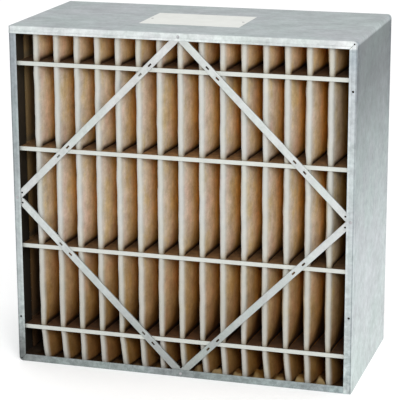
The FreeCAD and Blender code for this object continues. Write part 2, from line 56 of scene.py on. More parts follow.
# Sizes of the solids that the new meshes and the shading follow
BOX_WIDTH, BOX_HEIGHT, BOX_DEPTH = 594.0, 594.0, 292.0
SHEET = 0.7
HEM_X, FLANGE_FOLD_X = 288.5, 294.7
PLEATS, PITCH = 15, 36.3
MEDIA_THICKNESS = 3.5
MEDIA_BOTTOM, MEDIA_TOP = 5.7, 587.6
NOSE_Y, WALL_X = 137.5, 295.6
LAP_END, LAP_BACK = -87.5, -47.5
STRIP_BACK_Y = 139.3
STRIP_HEIGHTS = [63.5, 211.0, 383.0, 530.5]

# Mesh of the media: folds, bays between the stabilisers, levels and points along the line
FOLDS = 2 * PLEATS + 1
BAY_EDGES = [MEDIA_BOTTOM, *STRIP_HEIGHTS, MEDIA_TOP]
TOP_BAY = len(BAY_EDGES) - 2
LEVELS_IN_BAY = [8, 22, 25, 22, 8]
LEVEL_EASE = 0.45
ARC_STEPS = 6
LEG_SPOTS = [0.035, 0.09, 0.17, 0.28, 0.5, 0.72, 0.83, 0.91, 0.965]
LAP_SPOTS = [0.12, 0.3, 0.5, 0.7, 0.88]

# How sharply the swell ends at a strip: a power for each bay, and one for just under a strip
PINCH = [9.0, 2.6, 7.0, 8.0, 4.0]
PINCH_UNDER_STRIP = 12.0

# Form of the folds: nose radius, swell of the legs, drift and lean of the noses, small waves
NOSE_PINCHED, NOSE_FULL, LOW_NOSE_SHARE = 3.9, 4.7, 0.2
BILLOW, BILLOW_POWER, TUCK = 7.6, 0.78, 1.9
BILLOW_SPREAD, WAVELENGTH_SPREAD = (0.8, 1.15), (0.8, 1.25)
WANDER, CREASE_DRIFT, CREASE_DENT = 0.55, 0.22, 0.35
LEAN, LEAN_SPREAD, LEAN_RATE = 4.5, 2.5, 2.3
RIPPLE, RIPPLE_SHIFT = 0.7, 160.0
SLOW_RIPPLE, SLOW_RATE, SLOW_SHIFT = 0.5, 0.7, 300.0
LAP_BULGE = 2.0

# The wire grid. Its wires stand proud of the media by a share of their radius, and one whose first
# step rises more steeply than the slope counts as upright.
WIRE_SPACING, WIRE_RADIUS, WIRE_SIDES = 25.4, 0.75, 3
WIRE_PROUD, UPRIGHT_SLOPE = 0.6, 0.7
GRID_MARGIN = 10.0

# The pads: mesh, with rows closer together at the front, lumps, rounded rim, and the corner that
# follows the frame's bend
PAD_COLUMNS, PAD_ROWS, ROW_POWER = 260, 70, 1.6
LUMP_WAVES, LUMP_HEIGHT = 24, 0.6
LUMP_SHORTEST, LUMP_LONGEST = 12.0, 50.0
RIM_WIDTH, RIM_DROP = 8.0, 1.2
CORNER, CORNER_LIFT = 6.5, 4.2

# The fluff on the bottom pad: heaps of tufts between the front folds, with random sizes and places
TUFT_HEIGHT, TUFT_ASIDE, TUFT_LEFT_SHARE = 13.5, 10.5, 0.35
FIRST_TUFT_FOLD, TUFTS_IN_HEAP = 3, 6
HEAP_SPREAD, TUFT_SPREAD = (0.7, 1.1), (0.5, 0.9)
TUFT_X, TUFT_DEPTH = (-4.0, 3.0), (4.0, 22.0)
TUFT_WIDTHS, TUFT_LENGTHS = (5.0, 8.5), (8.0, 14.0)
TUFT_DOME_POWER, TUFT_ROUGHNESS, TUFT_RIM = 0.65, 0.22, 3.0

# The label plate's rivets
LABEL_RIVETS_X, LABEL_RIVETS_Y = (-88.0, 73.0), -10.0
LABEL_RIVET_RADIUS, LABEL_RIVET_HEIGHT = 2.2, 0.8
RIVET_RINGS, RIVET_SIDES = 5, 20

# Noise patterns of the materials: scale, detail and roughness
ZINC_CLOUDS, ROLLING_MARKS, ZINC_HUES = (20.0, 6.0, 0.78), (90.0, 5.0, 0.72), (9.0, 4.0, 0.7)
WEAR, SCUFFS = (95.0, 6.0, 0.8), (75.0, 6.0, 0.8)
FAINT_CLOUDS, FINGER_STAINS = (40.0, 4.0, 0.6), (60.0, 5.0, 0.75)
PATCHES, WARMTH, STREAKS = (38.0, 6.0, 0.78), (27.0, 4.0, 0.7), (85.0, 5.0, 0.7)
FINE_HAIR, COARSE_HAIR = (900.0, 2.0, 0.7), (120.0, 3.0, 0.6)
LABEL_GRAIN, FLOOR_CLOUDS = (220.0, 2.0, 0.5), (3.0, 3.0, 0.5)

# Zinc: the crystals' scale, the shares of crystals, clouds and marks, and the bright end's gain
CRYSTAL_SCALE, ZINC_SHARES, BRIGHT_GAIN = 220.0, (0.08, 0.52, 0.40), 0.4

# Where the shading changes, from and to: places by axis, rises above a strip, depths behind a face
WORN_Z, SCUFFED_Z = (60.0, 170.0), (400.0, 570.0)
SCUFFED_X, SCUFFED_Y, FOLD_HIGHLIGHT_Y = (290.0, 296.0), (112.0, 138.0), (136.0, 146.0)
FINGER_X, FINGER_DEPTH = (-200.0, 280.0), (0.0, 0.4)
STAIN_RISE, CREASE_SHADOW_RISE, CREASE_SHADOW_DEPTH = (3.0, 16.0), (6.0, 13.0), (4.0, 12.0)
GAP_SHADE_X, GAP_SHADE_DEPTH, GAP_SHADE_SLOPE = (-150.0, 150.0), (8.0, 34.0), 0.55
NOSE_DEPTH, TONE_DEPTH, TONE_WOBBLE = (2.0, 10.0), (0.0, 100.0), 12.0
LAST_FOLD_X, LAST_FOLD_DEPTH = (257.0, 267.0), (3.0, 12.0)
LEFT_X, BESIDE_WALLS_X = (-100.0, 80.0), (270.0, 276.0)

# Colours for such places, mostly painted light and shade: a COLOR replaces the material's own, and a
# TINT multiplies it
CREASE_SHADOW_COLOR, GAP_SHADE_COLOR = (0.03, 0.015, 0.008), (0.085, 0.045, 0.022)
STAIN_TINT, LAST_FOLD_SHADE_TINT = (0.66, 0.56, 0.42), (0.55, 0.50, 0.43)
HEM_HIGHLIGHT_TINT, FOLD_SHADE_TINT = (0.92, 0.92, 0.93), (0.68, 0.69, 0.70)
FOLD_HIGHLIGHT_TINT = (1.16, 1.16, 1.15)

# The floor, just under the box so that no faces meet
FLOOR_HALF, FLOOR_DROP = 12000.0, 0.2

# Lights besides the white surroundings: place, aim and size in metres, power in watts
LIGHTS = {
    "key": ((1.0, -2.3, 1.6), (0.0, -0.1, 0.4), (0.9, 0.9), 34.0),
    "low_right": ((1.1, 0.0, 0.05), (0.3, 0.0, 0.1), (0.5, 0.3), 2.5),
}

# The camera, from the fit of the box's corners in the photograph; angles in degrees
CAMERA_PLACE = (835.0, -2641.0 - BOX_DEPTH / 2, 1058.0)
CAMERA_YAW, CAMERA_PITCH, CAMERA_ROLL = 16.82, 15.04, -0.24
FOCAL_PIXELS, PICTURE_PIXELS = 1721.0, 400.0
SENSOR_WIDTH = 36.0
CAMERA_REACH = 60000.0


# Materials. Colours are linear, and their stops are (place along the ramp, colour).


class Graph:
    """A small helper that builds one node material in the object's own coordinates."""

    def __init__(self, name):
        self.material = bpy.data.materials.new(name)
        self.material.use_nodes = True
        self.tree = self.material.node_tree
        self.shader = self.tree.nodes["Principled BSDF"]
        self.place = self.add("ShaderNodeTexCoord").outputs["Object"]

    def add(self, kind, **settings):
        node = self.tree.nodes.new(kind)
        for key, value in settings.items():
            setattr(node, key, value)
        return node

    def link(self, source, target):
        self.tree.links.new(source, target)

    def set(self, **values):
        """Uniform values on the shader's own sockets."""
        for key, value in values.items():
            self.shader.inputs[key.replace("_", " ")].default_value = value

    def feed(self, name, source):
        """A source that varies, linked to one of the shader's sockets."""
        self.link(source, self.shader.inputs[name])

    def stretched(self, scale):
        node = self.add("ShaderNodeMapping")
        node.inputs["Scale"].default_value = scale
        self.link(self.place, node.inputs["Vector"])
        return node.outputs["Vector"]

    def noise(self, pattern, stretch=None):
        node = self.add("ShaderNodeTexNoise")
        for key, value in zip(("Scale", "Detail", "Roughness"), pattern):
            node.inputs[key].default_value = value
        self.link(self.stretched(stretch) if stretch else self.place, node.inputs["Vector"])
        return node.outputs["Fac"]

    def cells(self, scale, stretch):
        node = self.add("ShaderNodeTexVoronoi")
        node.inputs["Scale"].default_value = scale
        self.link(self.stretched(stretch), node.inputs["Vector"])
        single = self.add("ShaderNodeSeparateColor")
        self.link(node.outputs["Color"], single.inputs["Color"])
        return single.outputs["Red"]

    def parts(self, vector):
        node = self.add("ShaderNodeSeparateXYZ")
        self.link(vector, node.inputs["Vector"])
        return node.outputs

    def axis(self, name):
        return self.parts(self.place)[name]

    def distance(self, name):
        """The distance from the middle plane across an axis, in metres."""
        return self.math("ABSOLUTE", self.axis(name))

    def math(self, operation, a, b=None):
        node = self.add("ShaderNodeMath", operation=operation)
        for socket, value in zip(node.inputs, (a, b)):
            if isinstance(value, float):
                socket.default_value = value
            elif value is not None:
                self.link(value, socket)
        return node.outputs["Value"]

    def product(self, first, *others):
        for other in others:
            first = self.math("MULTIPLY", first, other)
        return first

    def weighted(self, *parts):
        """The sum of sources, each times its weight."""
        total = self.product(*parts[0])
        for part in parts[1:]:
            total = self.math("ADD", total, self.product(*part))
        return total

    def fade(self, source, start, end, low=0.0, high=1.0):
        """Low up to the start, high from the end on, and even in between."""
        node = self.add("ShaderNodeMapRange")
        sockets = ("From Min", "From Max", "To Min", "To Max")
        for key, value in zip(sockets, (start, end, low, high)):
            node.inputs[key].default_value = value
        self.link(source, node.inputs["Value"])
        return node.outputs["Result"]

    def over(self, source, span, low=0.0, high=1.0):
        """A fade of a length over a span in millimetres."""
        start, end = span
        return self.fade(source, start * MM, end * MM, low, high)

    def along(self, axis, span, low=0.0, high=1.0):
        """A fade along an axis."""
        return self.over(self.axis(axis), span, low, high)

    def outward(self, axis, span, low=0.0, high=1.0):
        """A fade by the distance from the middle plane, on both sides of it."""
        return self.over(self.distance(axis), span, low, high)

    def past(self, axis, place):
        """1 where the distance from the middle plane is greater, and 0 elsewhere."""
        return self.math("GREATER_THAN", self.distance(axis), place * MM)

    def ramp(self, source, stops):
        node = self.add("ShaderNodeValToRGB")
        elements = node.color_ramp.elements
        while len(elements) < len(stops):
            elements.new(0.5)
        for element, (position, color) in zip(elements, stops):
            element.position = position
            element.color = (*color, 1.0)
        self.link(source, node.inputs["Fac"])
        return node.outputs["Color"]

    def by_height(self, stops):
        """A colour that changes with height, as a share of the box's height."""
        return self.ramp(self.math("DIVIDE", self.axis("Z"), BOX_HEIGHT * MM), stops)

    def blend(self, factor, a, b, kind="MIX"):
        node = self.add("ShaderNodeMix", data_type="RGBA", blend_type=kind)
        if isinstance(factor, float):
            node.inputs[0].default_value = factor
        else:
            self.link(factor, node.inputs[0])
        for socket, value in ((node.inputs[6], a), (node.inputs[7], b)):
            if isinstance(value, tuple):
                socket.default_value = (*value, 1.0)
            else:
                self.link(value, socket)
        return node.outputs[2]

    def tint(self, base, color, amount=1.0):
        """The base multiplied by a colour, in full or by an amount."""
        return self.blend(amount, base, color, "MULTIPLY")

    def bump(self, height, strength, distance):
        node = self.add("ShaderNodeBump")
        node.inputs["Strength"].default_value = strength
        node.inputs["Distance"].default_value = distance * MM
        self.link(height, node.inputs["Height"])
        self.feed("Normal", node.outputs["Normal"])


def scaled(color, factor):
    return tuple(min(1.0, c * factor) for c in color)


def grey_stops(*stops):
    return [(position, (value, value, value)) for position, value in stops]


def galvanised(name, tint, metallic, roughness, spangle, rolled=(1.0, 1.0, 1.0), shade=None):
    """Zinc-coated sheet: faint crystals, cloudy patches and rolling marks.

    spangle is the contrast, and rolled the stretch of the marks. shade(g) gives a colour that the
    sheet's own colour is multiplied by.
    """
    g = Graph(name)
    g.set(Metallic=metallic, Specular_IOR_Level=0.3)
    crystals = g.cells(CRYSTAL_SCALE, (1.0, 1.0, 0.6))
    sources = (crystals, g.noise(ZINC_CLOUDS), g.noise(ROLLING_MARKS, rolled))
    mixed = g.weighted(*zip(sources, ZINC_SHARES))
    dark, bright = scaled(tint, 1.0 - spangle), scaled(tint, 1.0 + BRIGHT_GAIN * spangle)
    zinc = g.ramp(mixed, [(0.38, dark), (0.62, bright)])
    hues = [(0.38, (1.015, 0.98, 1.01)), (0.60, (0.988, 1.01, 1.005))]
    zinc = g.tint(zinc, g.ramp(g.noise(ZINC_HUES), hues))
    g.feed("Base Color", g.tint(zinc, shade(g)) if shade else zinc)
    g.feed("Roughness", g.fade(mixed, 0.3, 0.7, roughness - 0.06, roughness + 0.08))
    g.bump(mixed, 0.08, 0.4)
    return g.material


def flange_color(g, light_by_height, across):
    """Flanges: painted light by height and across, worn low, painted hem highlight and fold shade."""
    face = g.by_height(light_by_height)
    face = g.tint(face, g.ramp(g.along("X", (-HEM_X, BOX_WIDTH / 2)), across))
    worn = g.ramp(g.noise(WEAR), [(0.42, (0.62, 0.63, 0.63)), (0.56, WHITE)])
    face = g.tint(face, worn, g.along("Z", WORN_Z, 0.8, 0.25))
    # Painted highlight on the hem: the flange outside the hem is darkened.
    face = g.tint(face, HEM_HIGHLIGHT_TINT, g.past("X", HEM_X))
    # Painted shade at the fold into the side panel.
    return g.tint(face, FOLD_SHADE_TINT, g.past("X", FLANGE_FOLD_X))


def panel_color(g, light_by_height):
    """Panels: painted light by height, painted highlight near the flanges, scuffed beside them high
    up.
    """
    panel = g.by_height(light_by_height)
    # Painted highlight along the fold from panel to flange.
    panel = g.tint(panel, FOLD_HIGHLIGHT_TINT, g.outward("Y", FOLD_HIGHLIGHT_Y))
    scuffs = g.ramp(g.noise(SCUFFS), [(0.42, (0.60, 0.64, 0.70)), (0.56, WHITE)])
    on_sides, beside_flanges = g.outward("X", SCUFFED_X), g.outward("Y", SCUFFED_Y)
    high_up = g.along("Z", SCUFFED_Z, 0.2, 1.0)
    return g.tint(panel, scuffs, g.product(on_sides, beside_flanges, high_up))


def frame_shade(panel, flange, across):
    """Painted light of a frame half: panels, flanges, and inward faces in painted shade over brown
    glue.
    """
    # Painted shade on the inward faces, darkest low down, over a brown adhesive tint.
    inner_face_shade = [(0.0, (0.07, 0.05, 0.035)), (0.35, (0.075, 0.055, 0.035)), (0.8, (0.16, 0.11, 0.07))]

    def shade(g):
        normal = g.parts(g.add("ShaderNodeNewGeometry").outputs["Normal"])
        faces_front = g.fade(g.math("ABSOLUTE", normal["Y"]), 0.4, 0.8)
        outer = g.blend(faces_front, panel_color(g, panel), flange_color(g, flange, across))
        turned_in = g.math("LESS_THAN", g.product(normal["X"], g.axis("X")), -0.1)
        return g.blend(turned_in, outer, g.by_height(inner_face_shade))

    return shade


def stabiliser_finish(name, face, inside, light_by_height, across):
    """Bright strip along the face, and fingers in painted shade and the media's painted reflection.
    """
    g = Graph(name)
    depth = g.math("SUBTRACT", STRIP_BACK_Y * MM, g.distance("Y"))
    behind = g.over(depth, FINGER_DEPTH)
    clouds = g.noise(FAINT_CLOUDS)
    strip = g.ramp(clouds, [(0.3, scaled(face, 0.9)), (0.7, face)])
    # The fingers' brown is a painted reflection of the media, darkened as painted shade by height and
    # across.
    fingers = g.ramp(g.noise(FINGER_STAINS), [(0.36, scaled(inside, 0.45)), (0.62, inside)])
    fingers = g.tint(fingers, g.by_height(light_by_height))
    fingers = g.tint(fingers, g.ramp(g.along("X", FINGER_X), across))
    g.feed("Base Color", g.blend(behind, strip, fingers))
    g.feed("Metallic", g.fade(behind, 0.0, 1.0, 0.35, 0.05))
    g.feed("Roughness", g.fade(behind, 0.0, 1.0, 0.45, 0.7))
    g.bump(clouds, 0.06, 0.3)
    return g.material


def above_strip(g):
    """The height above the nearest strip below, in metres, or about 1 where there is none."""
    above = 1.0
    for height in STRIP_HEIGHTS:
        rise = g.math("SUBTRACT", g.axis("Z"), height * MM)
        rise = g.math("ADD", rise, g.math("LESS_THAN", rise, 0.0))
        above = g.math("MINIMUM", above, rise)
    return above


def strip_shading(g, base, depth):
    """Stains, painted shadow in the creases above the strips, and painted gap shade low down."""
    above = above_strip(g)
    base = g.tint(base, STAIN_TINT, g.over(above, STAIN_RISE, 0.6, 0.0))
    # Painted shadow in the crease just above each strip.
    crease_shadow = g.product(g.over(above, CREASE_SHADOW_RISE, 0.95, 0.0), g.over(depth, CREASE_SHADOW_DEPTH))
    base = g.blend(crease_shadow, base, CREASE_SHADOW_COLOR)
    # Painted shade between the folds, deeper in and low down, stronger towards the right.
    gap_shade = g.math("SUBTRACT", depth, g.product(above, GAP_SHADE_SLOPE))
    gap_shade = g.over(gap_shade, GAP_SHADE_DEPTH, 0.0, 0.8)
    to_the_right = g.along("X", GAP_SHADE_X, 0.3, 1.0)
    low_down = g.by_height(grey_stops((0.0, 1.0), (0.30, 1.0), (0.45, 0.4), (0.7, 0.1), (1.0, 0.1)))
    return g.blend(g.product(gap_shade, to_the_right, low_down), base, GAP_SHADE_COLOR)


def fibre_pattern(g, patches):
    """Patches, warmer and cooler areas and upright streaks, as one colour to multiply by."""
    warmth = g.noise(WARMTH, (1.0, 1.0, 0.5))
    streaks = g.noise(STREAKS, (1.0, 1.0, 0.1))
    mottled = g.ramp(patches, [
        (0.30, (0.68, 0.63, 0.56)), (0.5, (0.92, 0.90, 0.87)), (0.68, (1.14, 1.15, 1.16))])
    warmed = g.ramp(warmth, [(0.36, (1.06, 0.95, 0.98)), (0.5, WHITE), (0.62, (1.0, 0.93, 0.70))])
    streaked = g.ramp(streaks, [(0.3, (0.86, 0.85, 0.83)), (0.7, (1.06, 1.06, 1.06))])
    return g.tint(g.tint(mottled, warmed), streaked)


def fibre(name, nose, near, tan, mid, deep, left_shade=None):
    """Glass fibre: tan, painted light on the noses, painted shade further in, darker low down.

    left_shade darkens the left part.
    """
    g = Graph(name)
    g.set(Roughness=1.0, Specular_IOR_Level=0.12)
    depth = g.math("SUBTRACT", NOSE_Y * MM, g.distance("Y"))
    patches = g.noise(PATCHES)
    wobble = g.product(g.math("SUBTRACT", patches, 0.5), TONE_WOBBLE * MM)
    # The fibre's tan, with painted light making the noses pale and painted shade and bounce light
    # browner inwards.
    base = g.ramp(g.over(g.math("ADD", depth, wobble), TONE_DEPTH), [
        (0.0, nose), (0.012, nose), (0.095, near), (0.31, tan), (0.50, mid), (0.70, deep)])
    base = strip_shading(g, base, depth)
    inside = g.over(depth, NOSE_DEPTH, 0.2, 1.0)
    base = g.tint(base, fibre_pattern(g, patches), inside)
    # Darker and browner low down, warmer at the very top.
    height_tint = g.by_height([
        (0.0, (0.37, 0.24, 0.10)), (0.10, (0.41, 0.28, 0.125)), (0.30, (0.77, 0.65, 0.47)),
        (0.45, WHITE), (0.85, WHITE), (1.0, (1.02, 0.82, 0.58))])
    base = g.tint(base, height_tint, inside)
    # Painted shade on the last fold beside the right side panel.
    last_fold_shade = g.product(g.along("X", LAST_FOLD_X), g.over(depth, LAST_FOLD_DEPTH))
    base = g.tint(base, LAST_FOLD_SHADE_TINT, last_fold_shade)
    if left_shade:
        base = g.tint(base, left_shade, g.along("X", LEFT_X, 1.0, 0.0))
    # Painted shade on the media beside the side panels, darker low down.
    wall_shade = g.by_height([
        (0.0, (0.04, 0.025, 0.015)), (0.35, (0.055, 0.037, 0.02)), (0.8, (0.15, 0.11, 0.06))])
    g.feed("Base Color", g.blend(g.outward("X", BESIDE_WALLS_X, 0.0, 0.9), base, wall_shade))
    hair = g.weighted((g.noise(FINE_HAIR), 1.0), (g.noise(COARSE_HAIR), 1.5))
    g.bump(hair, 0.35, 0.6)
    return g.material


def plate(name, tint):
    """Matt plate with faint clouds."""
    g = Graph(name)
    g.set(Metallic=0.05, Specular_IOR_Level=0.1)
    clouds = g.noise(FAINT_CLOUDS)
    g.feed("Base Color", g.ramp(clouds, [(0.3, scaled(tint, 0.93)), (0.7, tint)]))
    g.feed("Roughness", g.fade(clouds, 0.0, 1.0, 0.75, 0.9))
    g.bump(g.noise(LABEL_GRAIN), 0.1, 0.3)
    return g.material


# Lit copy of the frame's sheet; its stops by height and across are painted light and shade.
TOP_RIGHT_METAL = galvanised(
    "galvanised_top_right", (0.485, 0.535, 0.535), 0.12, 0.8, 0.24, (0.2, 1.0, 1.0),
    frame_shade(
        panel=[
            (0.0, (1.0, 1.0, 0.98)), (0.35, (0.88, 0.88, 0.88)), (0.65, (0.60, 0.61, 0.61)),
            (0.88, (0.335, 0.345, 0.345)), (0.985, (0.335, 0.345, 0.345)),
            (0.99, (0.79, 0.785, 0.79)),
        ],
        flange=[
            (0.0, (1.0, 1.0, 0.99)), (0.75, (0.98, 0.98, 0.97)), (0.90, (0.92, 0.93, 0.93)),
            (0.95, (0.72, 0.76, 0.78)), (0.976, (0.74, 0.78, 0.79)), (0.98, (1.36, 1.30, 1.27)),
            (1.0, (1.36, 1.30, 1.27)),
        ],
        across=[
            (0.0, (0.87, 0.885, 0.89)), (0.5, (0.86, 0.87, 0.87)), (0.80, (0.79, 0.80, 0.80)),
            (0.94, (0.78, 0.79, 0.79)), (0.965, WHITE),
        ],
    ),
)
# Shaded copy of the same sheet, darker, brightened towards the right as painted light.
BOTTOM_LEFT_METAL = galvanised(
    "galvanised_bottom_left", (0.31, 0.34, 0.34), 0.12, 0.8, 0.22,
    shade=frame_shade(
        panel=[(0.0, (0.75, 0.75, 0.75)), (0.1, WHITE), (1.0, WHITE)],
        flange=[
            (0.0, (0.46, 0.47, 0.45)), (0.03, (0.48, 0.49, 0.47)), (0.06, (0.62, 0.64, 0.61)),
            (0.12, (1.15, 1.18, 1.14)), (0.20, (1.30, 1.34, 1.30)), (0.45, (1.18, 1.20, 1.18)),
            (0.60, (0.86, 0.90, 0.89)), (1.0, (0.80, 0.80, 0.85)),
        ],
        across=[
            (0.0, (1.12, 1.12, 1.12)), (0.015, (1.5, 1.5, 1.5)), (0.08, (1.85, 1.9, 1.92)),
            (0.3, (1.85, 1.9, 1.92)), (0.38, (2.1, 2.15, 2.2)), (0.5, (1.58, 1.6, 1.63)),
            (0.7, (1.95, 2.0, 2.05)), (1.0, (2.2, 2.3, 2.45)),
        ],
    ),
)
# Painted shade: the straps are darker towards the bottom.
STRAP_METAL = galvanised(
    "galvanised_strap", (0.50, 0.53, 0.51), 0.4, 0.42, 0.16,
    shade=lambda g: g.by_height([
        (0.0, (0.56, 0.57, 0.56)), (0.2, (0.78, 0.79, 0.80)), (0.4, (0.97, 0.98, 0.99)),
        (1.0, (1.02, 1.01, 1.01)),
    ]),
)
# The fingers' colours and their stops by height and across are painted reflection and painted shade.
STRIP_FINISH = stabiliser_finish(
    "stabiliser_finish", (0.52, 0.54, 0.505), (0.37, 0.19, 0.07),
    light_by_height=[
        (0.15, (0.33, 0.26, 0.20)), (0.35, (0.62, 0.60, 0.55)), (0.64, (0.95, 0.95, 0.95)),
        (0.85, (0.4, 0.37, 0.34)), (1.0, (0.4, 0.37, 0.34)),
    ],
    across=[(0.0, (0.72, 0.74, 0.76)), (0.4, (0.95, 0.95, 0.95)), (1.0, (0.58, 0.60, 0.62))],
)
RIVET_METAL = galvanised("rivet_metal", (0.34, 0.345, 0.35), 0.25, 0.5, 0.3)
WIRE_METAL = galvanised("wire_metal", (0.62, 0.64, 0.64), 0.85, 0.36, 0.1)
MEDIA_FIBRE = fibre(
    "media_fibre", nose=(0.437, 0.446, 0.422), near=(0.57, 0.50, 0.42), tan=(0.635, 0.475, 0.29),
    mid=(0.80, 0.47, 0.135), deep=(0.82, 0.40, 0.04),
)
PAD_FIBRE = fibre(
    "pad_fibre", nose=(0.25, 0.185, 0.09), near=(0.26, 0.19, 0.095), tan=(0.21, 0.15, 0.07),
    mid=(0.16, 0.11, 0.045), deep=(0.12, 0.08, 0.03), left_shade=(0.30, 0.27, 0.25),
)
LABEL_FINISH = plate("label_finish", (0.70, 0.71, 0.68))

# The material of each CAD node: the first key that is part of its name
FINISHES = {
    "frame_top": TOP_RIGHT_METAL,
    "frame_bottom": BOTTOM_LEFT_METAL,
    "strap": STRAP_METAL,
    "stabiliser": STRIP_FINISH,
    "rivets": RIVET_METAL,
    "label": LABEL_FINISH,
    "media": MEDIA_FIBRE,
    "pad": PAD_FIBRE,
}


def finish_with(obj, material):
    obj.data.materials.clear()
    obj.data.materials.append(material)


for name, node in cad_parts.items():
    finish_with(node, next(finish for key, finish in FINISHES.items() if key in name))


# Meshes


def new_mesh(name, vertices, faces, material, smooth=True):
    mesh = bpy.data.meshes.new(name)
    mesh.from_pydata([tuple(v) for v in vertices], [], faces)
    mesh.validate()
    mesh.update()
    mesh.polygons.foreach_set("use_smooth", [smooth] * len(mesh.polygons))
    obj = bpy.data.objects.new(name, mesh)
    bpy.context.scene.collection.objects.link(obj)
    finish_with(obj, material)
    return obj


class Waves:
    """A smooth random curve: a few sines with random phases."""

    def __init__(self, *lengths):
        lengths = [length * rng.uniform(*WAVELENGTH_SPREAD) for length in lengths]
        self.rates = [2 * math.pi / length for length in lengths]
        self.phases = rng.uniform(0, 2 * math.pi, len(lengths))

    def at(self, x):
        parts = [np.sin(rate * x + phase) for rate, phase in zip(self.rates, self.phases)]
        return sum(parts) / len(parts)


fold_waves = [Waves(150.0, 83.0, 47.0) for _ in range(FOLDS)]
crease_waves = [(Waves(37.0, 19.0), Waves(36.0, 19.0)) for _ in range(FOLDS)]
leg_waves = [(Waves(120.0, 60.0, 31.0), Waves(90.0, 44.0)) for _ in range(FOLDS + 1)]
bay_fullness = rng.uniform(*BILLOW_SPREAD, (TOP_BAY + 1, FOLDS + 1))


def fullness(z):
    """The bay at a height, and how far the media swells there: 0 at a strip, 1 well clear."""
    bay = min(np.searchsorted(BAY_EDGES, z, side="right") - 1, TOP_BAY)
    bay = max(bay, 0)
    u = (z - BAY_EDGES[bay]) / (BAY_EDGES[bay + 1] - BAY_EDGES[bay])
    if bay == 0:
        return bay, 1.0 - max(u, 0.0) ** PINCH[bay]
    if bay == TOP_BAY:
        return bay, 1.0 - max(1.0 - u, 0.0) ** PINCH[bay]
    return bay, 1.0 - abs(2.0 * u - 1.0) ** (PINCH_UNDER_STRIP if u > 0.5 else PINCH[bay])


def billow_at(t):
    """The share of the full billow along a leg: out near one fold, back near the other."""
    if t > 0.5:
        return -billow_at(1.0 - t)
    return math.sin(math.pi * (2.0 * t) ** BILLOW_POWER)


def fold_place(fold, z, bay, full):
    """Where a fold stands across the box at one height. The lowest front folds lean."""
    drift = fold_waves[fold].at(z) * WANDER * full
    drift += crease_waves[fold][0].at(z) * CREASE_DRIFT * full
    if bay == 0 and fold % 2 == 1:
        lean = LEAN + LEAN_SPREAD * math.sin(LEAN_RATE * fold)
        drift += lean * (BAY_EDGES[1] - z) / BAY_EDGES[1]
    return (fold - PLEATS) * PITCH / 2 + drift


def lap_points(side, fold_x, fold_y, full):
    """The end of the media, from flat on a side panel to the outermost fold; side is -1 or 1."""
    wall = side * (WALL_X - MEDIA_THICKNESS / 2)
    points = [(wall, y) for y in (LAP_END, (LAP_END + LAP_BACK) / 2, LAP_BACK)]
    for t in LAP_SPOTS:
        x = wall + (fold_x - wall) * t + side * LAP_BULGE * full * math.sin(math.pi * t)
        points.append((x, LAP_BACK + (fold_y - LAP_BACK) * t))
    return points


def fold_points(fold, z, x, side, bend, lift):
    """The arc round one fold; side is 1 at the back and -1 at the front."""
    dent = crease_waves[fold][1].at(z) * CREASE_DENT - CREASE_DENT
    angles = [math.pi * step / ARC_STEPS for step in range(ARC_STEPS + 1)]
    return [
        (x - bend * math.cos(a), side * (lift + (bend + dent) * math.sin(a))) for a in angles
    ]


def leg_points(fold, z, start, end, full, swell):
    """The media from one fold to the next: billowed by the swell, with small waves."""
    ripple, slow = leg_waves[fold]
    points = []
    for t in LEG_SPOTS:
        out = billow_at(t) * swell
        out += RIPPLE * full * math.sin(math.pi * t) * ripple.at(z + RIPPLE_SHIFT * t)
        out += SLOW_RIPPLE * full * math.sin(math.pi * t) * slow.at(z * SLOW_RATE + SLOW_SHIFT * t)
        x, y = (a + (b - a) * t for a, b in zip(start, end))
        points.append((x + out, y))
    return points


def centreline(z):
    """The middle of the media at one height, from left to right."""
    bay, full = fullness(z)
    nose = NOSE_PINCHED + (NOSE_FULL - NOSE_PINCHED) * full * (LOW_NOSE_SHARE if bay == 0 else 1.0)
    bend = nose - MEDIA_THICKNESS / 2
    lift = NOSE_Y - nose
    places = [fold_place(fold, z, bay, full) for fold in range(FOLDS)]
    points = lap_points(-1.0, places[0] - bend, lift, full)
    for fold, x in enumerate(places):
        side = 1.0 if fold % 2 == 0 else -1.0
        points += fold_points(fold, z, x, side, bend, lift)
        if fold + 1 < FOLDS:
            start, end = (x + bend, side * lift), (places[fold + 1] - bend, -side * lift)
            swell = (BILLOW * bay_fullness[bay, fold] + TUCK) * full - TUCK
            points += leg_points(fold, z, start, end, full, swell)
    points += reversed(lap_points(1.0, places[-1] + bend, lift, full))
    return np.array(points)


def offset(points, distance):
    """The line moved sideways by a distance, to its right where positive."""
    along = np.empty_like(points)
    steps = np.diff(points, axis=0)
    steps /= np.linalg.norm(steps, axis=1)[:, None]
    along[0], along[-1] = steps[0], steps[-1]
    along[1:-1] = steps[:-1] + steps[1:]
    along /= np.linalg.norm(along, axis=1)[:, None]
    aside = np.stack([along[:, 1], -along[:, 0]], axis=1)
    return points + aside * distance


def bay_levels():
    """The heights of the mesh's rows, closer together near the strips."""
    levels = [MEDIA_BOTTOM]
    for low, high, count in zip(BAY_EDGES, BAY_EDGES[1:], LEVELS_IN_BAY):
        for step in range(1, count + 1):
            t = step / count
            eased = t - math.sin(2 * math.pi * t) / (2 * math.pi) * LEVEL_EASE
            levels.append(low + (high - low) * eased)
    return levels


